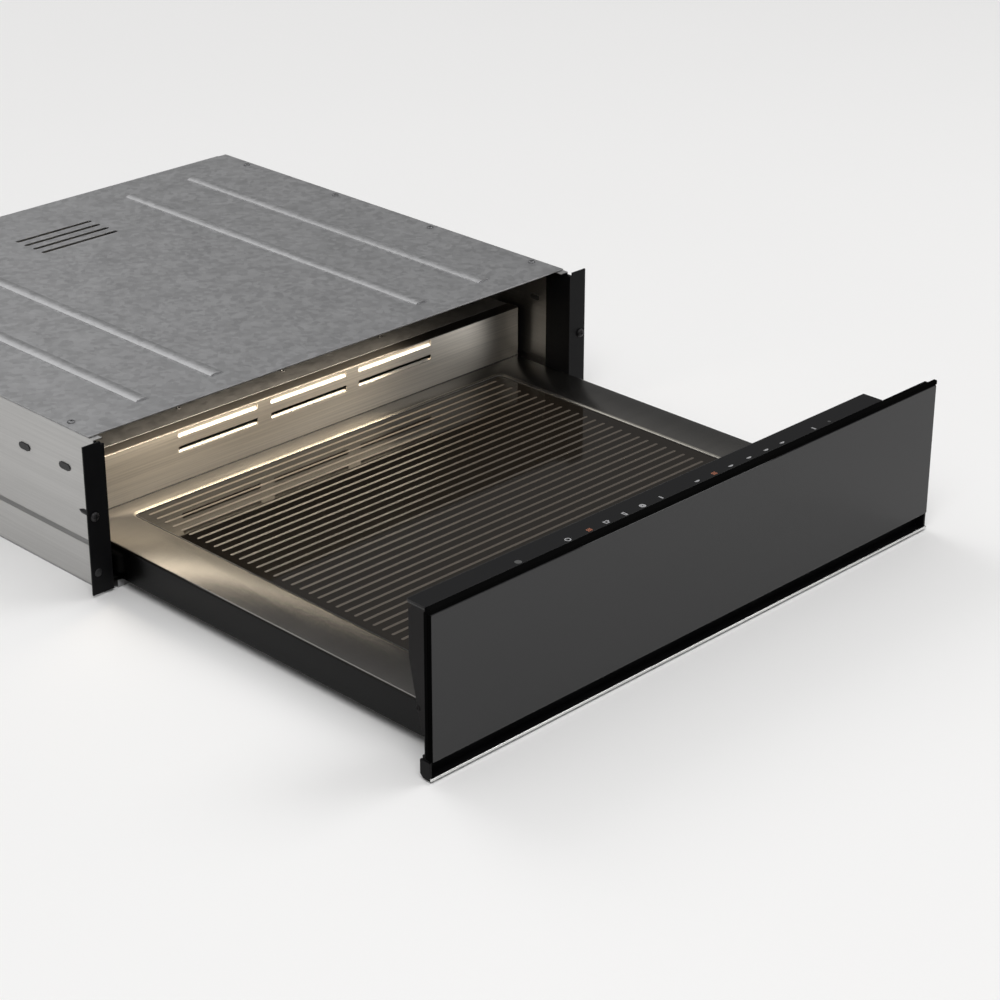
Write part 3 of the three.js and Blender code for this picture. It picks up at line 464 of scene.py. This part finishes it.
def motor_metal():
    """Laminated stack: thin dark and light sheets side by side along x, with a copper tint."""
    s = Surface("motor_metal", (0.42, 0.2, 0.1), 0.42, 0.9)
    s.soft_edges()
    layers = s.ribs(320)
    s.paint(s.shade(layers, 0.7, 1.15))
    s.bump(layers, 0.1 * MM, 0.5)
    return s


# Finishes of the small pieces, and those that several nodes or pieces share.
BRACKET_PAINT = painted("bracket_paint", (0.009, 0.008, 0.0082), 0.5, 0.2, specular=0.15)
# Black paint with no reflection at all: part paint, part painted shade, on the front's top trim
# and carrier.
BLACK_PAINT_AND_SHADE = painted("black_paint_and_painted_shade", (0.003, 0.003, 0.003), 0.5, specular=0.0)
BLACK_PLASTIC = moulded("black_plastic", (0.010, 0.010, 0.011), 0.48)
FASTENER = painted("fastener_steel", (0.20, 0.20, 0.205), 0.34, 1.0)
LIP_PAINTED_GLOW = slot_lip_painted_glow()
BRIGHT_EDGE = brushed("bright_edge", (0.50, 0.47, 0.42), 0.4, "X", 0.03, 0.05)
SEAL = moulded("seal", (0.012, 0.011, 0.010), 0.5)

# The record's slot gives a node its finish, unless the node has one of its own.
FINISH_OF_SLOT = {
    "stainless": brushed("stainless", (0.50, 0.495, 0.485), 0.34, "Y", 0.04, 0.06),
    "galvanised": galvanised("galvanised", (0.40, 0.40, 0.405), 0.48),
    "black_paint": painted("black_paint", (0.0045, 0.0045, 0.005), 0.42, specular=0.1),
    "dark_steel": painted("dark_steel", (0.016, 0.015, 0.0155), 0.4, 0.5, 300),
    "front_glass": front_pane(),
    "black_glass": glass_plate("black_glass", (0.006, 0.006, 0.0065), 0.08, 0.2),
    "floor_glass": glass_plate("floor_glass", (0.014, 0.011, 0.008), 0.06, 0.22),
    "polished_steel": brushed("polished_steel", (0.80, 0.80, 0.79), 0.16, "X", 0.04),
    "aluminium": brushed("aluminium", (0.55, 0.55, 0.56), 0.38, "X"),
    "black_plastic": BLACK_PLASTIC,
    "grey_plastic": moulded("grey_plastic", (0.42, 0.42, 0.40), 0.46),
    "silicone": moulded("silicone", (0.30, 0.07, 0.03), 0.62, 500),
    "mineral_board": mineral_board(),
    "circuit_board": circuit_board(),
    "light": lit_diffuser(),
    "copper": motor_metal(),
    "heater_steel": brushed("heater_steel", (0.24, 0.22, 0.20), 0.42, "X"),
}
OWN_FINISH = {
    "drawer_rim": rim_steel(), "rear_wall": wall_steel(),
    "front_top_trim": BLACK_PAINT_AND_SHADE, "front_carrier": BLACK_PAINT_AND_SHADE,
    "front_bracket_left": BRACKET_PAINT, "front_bracket_right": BRACKET_PAINT,
}


def smooth_group():
    """Geometry nodes that weld a faceted node and smooth it across shallow edges."""
    group = bpy.data.node_groups.new("weld_and_smooth", "GeometryNodeTree")
    for way in ("INPUT", "OUTPUT"):
        group.interface.new_socket("Geometry", in_out=way, socket_type="NodeSocketGeometry")
    add = group.nodes.new
    entry, leave = add("NodeGroupInput"), add("NodeGroupOutput")
    weld = add("GeometryNodeMergeByDistance")
    weld.inputs["Distance"].default_value = WELD_DISTANCE
    smooth = add("GeometryNodeSetShadeSmooth")
    sharp = add("GeometryNodeSetShadeSmooth")
    sharp.domain = "EDGE"
    sharp.inputs["Shade Smooth"].default_value = False
    angle = add("GeometryNodeInputMeshEdgeAngle")
    steep = add("FunctionNodeCompare")
    steep.operation = "GREATER_THAN"
    steep.inputs[1].default_value = math.radians(SMOOTH_ANGLE)
    group.links.new(angle.outputs["Unsigned Angle"], steep.inputs[0])
    group.links.new(steep.outputs[0], sharp.inputs["Selection"])
    chain = (entry, weld, smooth, sharp, leave)
    for a, b in zip(chain, chain[1:]):
        group.links.new(a.outputs[0], b.inputs[0])
    return group


def dress_nodes():
    """Gives each CAD node its finish, and smooth faces where its facets stand for a curve."""
    slot_of = {part["node"]: part["material_slot"] for part in frame["record"]["subparts"]}
    group = smooth_group()
    for name, node in nodes.items():
        finish = OWN_FINISH.get(name) or FINISH_OF_SLOT[slot_of[name]]
        node.data.materials.clear()
        node.data.materials.append(finish.material)
        stored = node.data.attributes.get("custom_normal")
        if stored:
            node.data.attributes.remove(stored)
        node.modifiers.new("weld_and_smooth", "NODES").node_group = group


# ---------------------------------------------------------------- making pieces

def add_object(name, data):
    """Puts a mesh, lamp or camera into the scene."""
    made = bpy.data.objects.new(name, data)
    bpy.context.scene.collection.objects.link(made)
    return made


def mesh_object(name, bm, finish):
    """Uses up a bmesh to make an object of one finish."""
    mesh = bpy.data.meshes.new(name)
    bm.to_mesh(mesh)
    bm.free()
    mesh.materials.append(finish.material)
    return add_object(name, mesh)


def new_piece(name, bm, finish, body):
    """Turns a bmesh into a piece that rides on a body."""
    bmesh.ops.recalc_face_normals(bm, faces=bm.faces)
    piece = mesh_object(name, bm, finish)
    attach(piece, body)


def loft(bm, loops, around=False):
    """A closed skin over loops of points: flat at both ends, or led round to the first loop."""
    rows = [[bm.verts.new(p) for p in loop] for loop in loops]
    following = rows[1:] + rows[:1] if around else rows[1:]
    for a, b in zip(rows, following):
        for i in range(len(a)):
            j = (i + 1) % len(a)
            bm.faces.new((a[i], a[j], b[j], b[i]))
    if not around:
        bm.faces.new(rows[0])
        bm.faces.new(rows[-1][::-1])


def plate(bm, outline, z, height):
    """A flat raised patch with the given outline of (x, y) points."""
    loft(bm, [[(x, y, level) for x, y in outline] for level in (z, z + height)])


def bar_outline(x0, x1, y, width, steps=4):
    """A straight bar along x with round ends."""
    r = width / 2
    arc = [math.radians(-90 + 180 * i / steps) for i in range(steps + 1)]
    right = [(x1 - r + r * math.cos(a), y + r * math.sin(a)) for a in arc]
    left = [(x0 + r - r * math.cos(a), y - r * math.sin(a)) for a in arc]
    return right + left


def rounded_outline(x0, x1, y0, y1, radius, steps=6):
    """A rectangle with round corners."""
    corners = (
        (x1 - radius, y1 - radius, 0), (x0 + radius, y1 - radius, 90),
        (x0 + radius, y0 + radius, 180), (x1 - radius, y0 + radius, 270),
    )
    points = []
    for x, y, start in corners:
        for i in range(steps + 1):
            a = math.radians(start + 90 * i / steps)
            points.append((x + radius * math.cos(a), y + radius * math.sin(a)))
    return points


def ribbon(bm, line, width, z, height):
    """A raised line of constant width; one that ends where it starts closes on itself."""
    points = [Vector(p) for p in line]
    closed = (points[0] - points[-1]).length < 0.01 * width
    if closed:
        points.pop()
    loops = []
    for i, here in enumerate(points):
        ways = []
        if closed or i > 0:
            ways.append((here - points[i - 1]).normalized())
        if closed or i < len(points) - 1:
            ways.append((points[(i + 1) % len(points)] - here).normalized())
        mean = sum(ways, Vector((0, 0))).normalized()
        reach = width / 2 / max(MITRE_LIMIT, mean.dot(ways[0]))
        side = Vector((-mean.y, mean.x)) * reach
        left, right = here + side, here - side
        loops.append([(*left, z), (*right, z), (*right, z + height), (*left, z + height)])
    loft(bm, loops, around=closed)


def turned(bm, centre, normal, profile, segments=16):
    """A small turned head that stands on a surface."""
    turn = Vector((0, 0, 1)).rotation_difference(Vector(normal)).to_matrix()
    angles = [2 * math.pi * i / segments for i in range(segments)]
    loops = []
    for radius, height in ((r * MM, h * MM) for r, h in profile):
        spots = [Vector((radius * math.cos(a), radius * math.sin(a), height)) for a in angles]
        loops.append([turn @ spot + Vector(centre) for spot in spots])
    loft(bm, loops)


# ---------------------------------------------------------------- pieces of the drawer

def floor_stripes():
    """Ceramic print on the glass shelf, one bar after another from back to front."""
    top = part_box("glass_floor")[1].z
    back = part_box("drawer_rim")[1].y - RIM_BORDER["back"] - STRIPE_BACK_INSET
    bm = bmesh.new()
    for i in range(STRIPE_COUNT):
        y = back - i * STRIPE_PITCH
        plate(bm, bar_outline(STRIPE_LEFT, STRIPE_RIGHT, y, STRIPE_WIDTH), top, STRIPE_HEIGHT)
    new_piece("floor_stripes", bm, ceramic_print(), "drawer")


def glass_seal():
    """Black bead between the glass shelf and the steel, all the way round."""
    low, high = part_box("drawer_rim")
    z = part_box("glass_floor")[1].z
    loops = []
    for inset, height in SEAL_SECTION:
        d = inset * SEAL_WIDTH
        outline = rounded_outline(
            low.x + RIM_BORDER["side"] + d, high.x - RIM_BORDER["side"] - d,
            low.y + RIM_BORDER["front"] + d, high.y - RIM_BORDER["back"] - d, OPENING_RADIUS - d,
        )
        loops.append([(x, y, z + height * SEAL_HEIGHT) for x, y in outline])
    bm = bmesh.new()
    loft(bm, loops, around=True)
    new_piece("glass_seal", bm, SEAL, "drawer")


def foot_seal():
    """Thin dark joint where the slotted wall stands on the steel."""
    low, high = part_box("rear_wall")
    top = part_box("drawer_rim")[1].z
    x0, x1 = low.x + FOOT_SEAL_INSET, high.x - FOOT_SEAL_INSET
    bm = bmesh.new()
    line = bar_outline(x0, x1, low.y - FOOT_SEAL_AHEAD, FOOT_SEAL_WIDTH)
    plate(bm, line, top, FOOT_SEAL_HEIGHT)
    new_piece("foot_seal", bm, SEAL, "drawer")


def slot_lips(name, row, finish):
    """The lower edge of each slot in one row, bent inwards so that it catches the light."""
    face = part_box("rear_wall")[0].y
    z = SLOT_HEIGHTS[row] * MM
    bm = bmesh.new()
    for x0, x1 in SLOT_SPANS:
        ends = (x0 + LIP_END_GAP, x1 - LIP_END_GAP)
        loft(bm, [[(x * MM, face + y * MM, z + h * MM) for y, h in LIP_SECTION] for x in ends])
    new_piece(name, bm, finish, "drawer")


def ring(radius, start=0, end=360, steps=16):
    """A circle, or the arc between two angles in degrees."""
    angles = [math.radians(start + (end - start) * i / steps) for i in range(steps + 1)]
    return [(radius * math.cos(a), radius * math.sin(a)) for a in angles]


def icons():
    """(x, icon, tone) for each icon on the strip. An icon is a list of lines, and a line a list
    of points about the icon's middle, all in millimetres."""
    cup = [
        [(-2.2, 1.6), (-1.8, -1.6), (1.2, -1.6), (1.6, 1.6), (-2.2, 1.6)],
        [(1.6, 1.0), (2.7, 0.8), (1.4, -0.6)],
    ]
    glass = [[(-1.1, 2.2), (-0.8, -2.2), (0.8, -2.2), (1.1, 2.2), (-1.1, 2.2)]]
    dish = [ring(2.3), ring(1.2)]
    heat = [[(x - 0.5, -2), (x + 0.3, -0.7), (x - 0.3, 0.7), (x + 0.5, 2)] for x in (-1.6, 0, 1.6)]
    power = [ring(2.2, 120, 420), [(0, 0.6), (0, 2.8)]]
    bowl = [
        [(-2.5, 0.6), (-1.5, -0.4), (0, -0.8), (1.5, -0.4), (2.5, 0.6)],
        [(-2.1, 0.4), (2.1, 0.4)],
    ]
    upright = [[(x, -2.3), (x, 2.3)] for x in (-0.3, 0.3)]
    field = [ring(2.4), ring(1.5), ring(0.6)]
    dot = [ring(0.9, 0, 360, 8)]
    return [
        (-198, field, "dim"), (-146, power, "white"), (-123, heat, "orange"), (-104, cup, "white"),
        (-84, glass, "white"), (-64, dish, "white"), (-43, upright, "white"), (-1, bowl, "white"),
        (19, heat, "orange"), (39, bowl, "white"), (61, bowl, "white"), (82, bowl, "white"),
        (102, bowl, "white"), (142, upright, "white"), (162, dot, "dim"),
    ]


def strip_icons(tone):
    """All icons of one tone, printed on the control strip."""
    low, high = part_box("control_glass")
    y = low.y + ICON_INSET
    bm = bmesh.new()
    for x, lines, icon_tone in icons():
        if icon_tone != tone:
            continue
        for line in lines:
            placed = [(u * MM + x * MM, v * MM + y) for u, v in line]
            ribbon(bm, placed, ICON_LINE, high.z, ICON_HEIGHT)
    new_piece("icons_" + tone, bm, icon_print(tone), "drawer")


# ---------------------------------------------------------------- heads, plugs and screens

def heads(name, spots, profile, body, finish=FASTENER):
    """Heads of screws, rivets or caps at (place, normal) spots on the sheets of one body."""
    bm = bmesh.new()
    for place, normal in spots:
        turned(bm, place, normal, profile)
    new_piece(name, bm, finish, body)


def casing_screws():
    """Screws that hold the roof and the back."""
    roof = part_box("casing_roof")[1]
    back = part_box("casing_back")[1]
    spots = []
    for side in SIDES:
        x, top = side * (roof.x - ROOF_SCREW_INSET), roof.z - BEAD_HEIGHT
        spots += [((x, y * MM, top), (0, 0, 1)) for y in ROOF_SCREWS_Y]
        x = side * (back.x - BACK_SCREW_INSET)
        spots += [((x, back.y, z * MM), (0, 1, 0)) for z in BACK_SCREWS_Z]
    z = back.z - BACK_SCREW_DROP
    spots += [((x * MM, back.y, z), (0, 1, 0)) for x in BACK_SCREWS_X]
    heads("casing_screws", spots, SCREW_PROFILE, "casing")


def bracket_rivets():
    """Rivets that join the front's brackets to the drawer frame."""
    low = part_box("front_bracket_right")[0]
    outer = low.x + BRACKET_SHEET
    spots = [
        ((side * outer, low.y + y * MM, RIVET_Z), (side, 0, 0)) for side in SIDES for y in RIVETS_Y
    ]
    heads("bracket_rivets", spots, RIVET_PROFILE, "drawer", BRACKET_PAINT)


def flange_plugs():
    """Caps in the spare holes of the flanges."""
    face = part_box("front_flange_right")[0].y
    spots = [((side * FLANGE_HOLE_X, face, FLANGE_HOLE_Z), (0, -1, 0)) for side in SIDES]
    heads("flange_plugs", spots, CAP_PROFILE, "casing", BLACK_PLASTIC)


def lid_screws():
    """Small round heads along the rear edge of the air duct's lid."""
    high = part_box("rear_box_lid")[1]
    spots = [((x * MM, high.y - LID_SCREW_INSET, high.z), (0, 0, 1)) for x in LID_SCREWS_X]
    heads("lid_screws", spots, RIVET_PROFILE, "drawer")


def slot_plugs():
    """Black plastic plugs pressed into the slots of the casing's sides."""
    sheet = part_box("casing_side_right")[1].x - SIDE_JOGGLE
    bm = bmesh.new()
    for side in SIDES:
        for i in range(PLUG_COUNT):
            y = PLUG_FIRST_Y + i * PLUG_PITCH
            for size, start, end in PLUG_LEVELS:
                reach = PLUG_LENGTH / 2 * size
                outline = bar_outline(y - reach, y + reach, PLUG_Z, PLUG_WIDTH * size)
                levels = (side * (sheet + start), side * (sheet + end))
                loft(bm, [[(x, u, v) for u, v in outline] for x in levels])
    new_piece("slot_plugs", bm, BLACK_PLASTIC, "casing")


def inlet_screens():
    """Dust screens pressed over the air inlets, inside the casing's back."""
    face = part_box("casing_back")[0].y
    bm = bmesh.new()
    for middle in INLET_MIDDLES:
        loops = []
        for inset, depth in SCREEN_LEVELS:
            d = inset * MM
            outline = rounded_outline(
                middle - INLET_HALF_WIDTH + d, middle + INLET_HALF_WIDTH - d,
                INLET_LOW + d, INLET_HIGH - d, SCREEN_RADIUS,
            )
            loops.append([(x, face - depth * MM, z) for x, z in outline])
        loft(bm, loops)
    new_piece("inlet_screens", bm, BLACK_PLASTIC, "casing")


# ---------------------------------------------------------------- room

def floor():
    """Plain pale studio floor."""
    half = FLOOR_SIZE / 2
    corners = ((-half, -half, 0), (half, -half, 0), (half, half, 0), (-half, half, 0))
    bm = bmesh.new()
    bm.faces.new([bm.verts.new(corner) for corner in corners])
    s = Surface("studio_floor", FLOOR_COLOR, 0.9)
    s.mottle(s.noise(1.5, detail=2.0), 0.995, 1.005)
    piece = mesh_object("studio_floor", bm, s)


def world():
    """Plain neutral studio: soft light overhead that fades towards the walls."""
    studio = bpy.data.worlds.new("studio")
    studio.use_nodes = True
    new, link = studio.node_tree.nodes.new, studio.node_tree.links.new
    height = new("ShaderNodeSeparateXYZ")
    link(new("ShaderNodeTexCoord").outputs["Generated"], height.inputs[0])
    total = new("ShaderNodeMath")
    fades = ((*WALL_FADE, WALL_LIGHT, ZENITH_LIGHT), (*GLOW_FADE, HORIZON_GLOW, 0.0))
    for index, values in enumerate(fades):
        fade = new("ShaderNodeMapRange")
        fade.interpolation_type = "SMOOTHSTEP"
        for key, value in zip(("From Min", "From Max", "To Min", "To Max"), values):
            fade.inputs[key].default_value = value
        link(height.outputs["Z"], fade.inputs["Value"])
        link(fade.outputs["Result"], total.inputs[index])
    background = studio.node_tree.nodes["Background"]
    background.inputs["Color"].default_value = (1, 1, 1, 1)
    link(total.outputs[0], background.inputs["Strength"])
    bpy.context.scene.world = studio


def lamp(name, place, target, power, size=LAMP_SIZE, depth=None):
    """An area light that looks at its target: a disc, or a rectangle if a depth is given."""
    data = bpy.data.lights.new(name, "AREA")
    data.shape = "RECTANGLE" if depth else "DISK"
    data.size = size
    if depth:
        data.size_y = depth
    data.energy = power
    made = add_object(name, data)
    made.location = place
    way = Vector(target) - Vector(place)
    made.rotation_euler = way.to_track_quat("-Z", "Y").to_euler()
    return made


def drawer_light():
    """The warm strip that lights the slotted wall from above, but draws no line on the glass."""
    low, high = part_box("rear_wall")
    place = (STRIP_X, low.y - STRIP_AHEAD, high.z + STRIP_ABOVE)
    target = (STRIP_X, low.y + STRIP_AIM, low.z)
    strip = lamp("drawer_light", place, target, STRIP_POWER, STRIP_LENGTH, STRIP_DEPTH)
    strip.data.color = STRIP_COLOR
    strip.visible_camera = False
    lit = bpy.data.collections.new("lit_by_drawer_light")
    lit.objects.link(nodes["glass_floor"])
    lit.collection_objects[0].light_linking.link_state = "EXCLUDE"
    strip.light_linking.receiver_collection = lit


def camera():
    """The photograph's viewpoint."""
    yaw, pitch, roll = (math.radians(a) for a in (CAMERA_YAW, CAMERA_PITCH, CAMERA_ROLL))
    data = bpy.data.cameras.new("photo_camera")
    data.lens = CAMERA_LENS
    data.sensor_width = SENSOR
    made = add_object("photo_camera", data)
    turn = Matrix.Rotation(-yaw, 4, "Z") @ Matrix.Rotation(math.pi / 2 - pitch, 4, "X")
    made.matrix_world = Matrix.Translation(CAMERA_PLACE) @ turn @ Matrix.Rotation(roll, 4, "Z")
    bpy.context.scene.camera = made


camera()
dress_nodes()
floor_stripes()
glass_seal()
foot_seal()
slot_lips("slot_lips", "lower", BRIGHT_EDGE)
# The upper row's lips glow: painted light.
slot_lips("upper_lips_painted_glow", "upper", LIP_PAINTED_GLOW)
for icon_tone in ICON_TONES:
    strip_icons(icon_tone)
casing_screws()
bracket_rivets()
flange_plugs()
lid_screws()
slot_plugs()
inlet_screens()
floor()
world()
for name, place, target, power in LAMPS:
    lamp(name, place, target, power)
drawer_light()

bpy.context.scene.view_settings.view_transform = "Standard"
